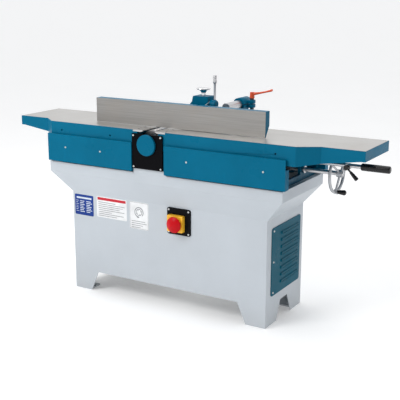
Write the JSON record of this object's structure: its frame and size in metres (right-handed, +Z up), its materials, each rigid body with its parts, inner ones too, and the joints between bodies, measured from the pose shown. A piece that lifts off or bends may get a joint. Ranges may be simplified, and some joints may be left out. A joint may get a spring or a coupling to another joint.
{
  "type": "surface planer",
  "caption": "Floor-standing surface planer (jointer): long infeed and outfeed tables over a cutterhead, tilting fence, lowering lever, handwheel and a sheet-steel cabinet.",
  "frame": {"origin": "on the floor, at the middle of the four anchor holes of the cabinet", "axes": "+X towards the infeed end along the tables, -Y towards the operator, +Z up"},
  "size_m": [1.912, 0.4766, 1.092],
  "materials": {
    "cabinet_paint": "satin, light blue grey",
    "machine_teal": "gloss, teal blue over cast iron",
    "ground_iron": "finely ground, lightly oiled",
    "bed_iron": "teal paint on cast iron",
    "bright_steel": "turned",
    "knob_chrome": "polished",
    "zinc_steel": "zinc plated",
    "black_steel": "black oxide",
    "grip_black": "phenolic, smooth",
    "lever_orange": "moulded",
    "switch_black": "moulded",
    "switch_yellow": "moulded",
    "stop_red": "moulded",
    "start_green": "moulded",
    "belt_rubber": "matt",
    "motor_paint": "satin grey on aluminium",
    "label_blue": "printed foil",
    "label_white": "printed foil",
    "aluminium_part": "cast"
  },
  "bodies": {
    "frame": {"base_cabinet": "cabinet_paint", "end_vent_panel": "machine_teal", "rear_hatch": "machine_teal", "dust_port": "black_steel", "dust_chute": "zinc_steel", "cable_gland": "grip_black", "bed_casting": "bed_iron", "outfeed_table": "ground_iron", "outfeed_lip": "ground_iron", "bearing_housings": "bed_iron", "bearing_outer_rings": "bright_steel", "bearing_balls": "bright_steel", "drive_belts": "belt_rubber", "front_end_plate": "black_steel", "front_bearing_cap": "machine_teal", "front_apron_left": "machine_teal", "front_apron_right": "machine_teal", "rear_apron": "machine_teal", "belt_guard": "machine_teal", "motor_mount": "zinc_steel", "motor_housing": "motor_paint", "fence_support": "machine_teal", "frame_bolts": "zinc_steel", "switch_plate": "switch_black", "switch_body": "switch_black", "rating_label": "label_blue", "notice_label": "label_white", "rotation_label": "label_white", "cover_screws": "zinc_steel"},
    "infeed": {"infeed_table": "ground_iron", "infeed_lip": "ground_iron"},
    "inner_eccentric": {"inner_eccentric_shaft": "bright_steel"},
    "outer_eccentric": {"outer_eccentric_shaft": "bright_steel", "lift_lever": "bright_steel", "lever_grip": "grip_black"},
    "eccentric_link": {"link_bar": "zinc_steel"},
    "lever_lock": {"lock_handle": "grip_black"},
    "stop_wheel": {"handwheel": "bright_steel", "handwheel_shaft": "bright_steel"},
    "wheel_knob": {"crank_knob": "grip_black"},
    "cutterhead": {"cutter_drum": "bright_steel", "cutter_knives": "bright_steel", "knife_gibs": "black_steel", "gib_screws": "black_steel", "cutterhead_pulley": "aluminium_part", "bearing_inner_rings": "bright_steel"},
    "motor_rotor": {"motor_shaft": "bright_steel", "motor_pulley": "aluminium_part"},
    "carriage": {"fence_carriage": "machine_teal", "guide_bar": "bright_steel"},
    "fence_body": {"fence": "ground_iron", "tilt_pins": "bright_steel"},
    "strut": {"tilt_strut": "bright_steel"},
    "tilt_lock": {"tilt_lock_lever": "bright_steel"},
    "carriage_knob": {"clamp_knob": "knob_chrome"},
    "bar_clamp": {"clamp_handle": "lever_orange", "clamp_screw": "black_steel"},
    "lid": {"switch_lid": "switch_yellow"},
    "stop": {"stop_button": "stop_red"},
    "start": {"start_button": "start_green"}
  },
  "joints": [
    {"name": "infeed_height", "type": "slide", "parent": "frame", "child": "infeed", "axis": [0, 0, 1], "range_m": [-0.0083, 0]},
    {"name": "inner_eccentric_turn", "type": "hinge", "parent": "frame", "child": "inner_eccentric", "pos_m": [0.15, 0, 0.712], "axis": [0, 1, 0], "range_deg": [0, 24.1]},
    {"name": "outer_eccentric_turn", "type": "hinge", "parent": "frame", "child": "outer_eccentric", "pos_m": [0.5, 0, 0.712], "axis": [0, 1, 0], "range_deg": [0, 24.1]},
    {"name": "link_turn", "type": "hinge", "parent": "outer_eccentric", "child": "eccentric_link", "pos_m": [0.50998, -0.123, 0.66505], "axis": [0, 1, 0], "range_deg": [-24.1, 0]},
    {"name": "lever_lock_turn", "type": "hinge", "parent": "outer_eccentric", "child": "lever_lock", "pos_m": [0.862, -0.1, 0.765], "axis": [0, 1, 0], "range_deg": [-20, 50]},
    {"name": "handwheel_turn", "type": "hinge", "parent": "frame", "child": "stop_wheel", "pos_m": [0.762, 0.03, 0.701], "axis": [1, 0, 0], "range_deg": [-720, 720]},
    {"name": "wheel_knob_spin", "type": "hinge", "parent": "stop_wheel", "child": "wheel_knob", "pos_m": [0.79, 0.03, 0.6175], "axis": [1, 0, 0], "continuous": true},
    {"name": "cutter_spin", "type": "hinge", "parent": "frame", "child": "cutterhead", "pos_m": [-0.06, 0, 0.785], "axis": [0, 1, 0], "continuous": true},
    {"name": "motor_spin", "type": "hinge", "parent": "frame", "child": "motor_rotor", "pos_m": [0.06, 0.12, 0.3], "axis": [0, 1, 0], "continuous": true},
    {"name": "fence_slide", "type": "slide", "parent": "frame", "child": "carriage", "axis": [0, 1, 0], "range_m": [0, 0.12]},
    {"name": "fence_tilt", "type": "hinge", "parent": "carriage", "child": "fence_body", "pos_m": [0.135, -0.097, 0.86], "axis": [-1, 0, 0], "range_deg": [0, 45]},
    {"name": "strut_turn", "type": "hinge", "parent": "fence_body", "child": "strut", "pos_m": [0.13, -0.06, 0.934], "axis": [-1, 0, 0], "range_deg": [-92, 0]},
    {"name": "tilt_lock_turn", "type": "hinge", "parent": "carriage", "child": "tilt_lock", "pos_m": [0.148, 0.02, 0.958], "axis": [1, 0, 0], "range_deg": [-35, 35]},
    {"name": "carriage_knob_turn", "type": "hinge", "parent": "carriage", "child": "carriage_knob", "pos_m": [0.0855, 0.031, 1.02], "axis": [0, 0, 1], "range_deg": [-360, 360]},
    {"name": "bar_clamp_turn", "type": "hinge", "parent": "frame", "child": "bar_clamp", "pos_m": [0.259, 0.188, 0.97], "axis": [0, 0, 1], "range_deg": [-80, 60]},
    {"name": "switch_lid_turn", "type": "hinge", "parent": "frame", "child": "lid", "pos_m": [0.0315, -0.198, 0.428], "axis": [0, 0, 1], "range_deg": [-100, 0]},
    {"name": "stop_press", "type": "slide", "parent": "lid", "child": "stop", "axis": [0, 1, 0], "range_m": [0, 0.005], "stiffness_N_per_m": 800},
    {"name": "start_press", "type": "slide", "parent": "frame", "child": "start", "axis": [0, 1, 0], "range_m": [0, 0.0028], "stiffness_N_per_m": 600}
  ],
  "couplings": [
    {"joint": "inner_eccentric_turn", "follows": "infeed_height", "rad_per_m": -50.47},
    {"joint": "outer_eccentric_turn", "follows": "infeed_height", "rad_per_m": -50.47},
    {"joint": "link_turn", "follows": "infeed_height", "rad_per_m": 50.47},
    {"joint": "motor_spin", "follows": "cutter_spin", "ratio": 0.64286},
    {"joint": "strut_turn", "follows": "fence_tilt", "ratio": -2}
  ]
}
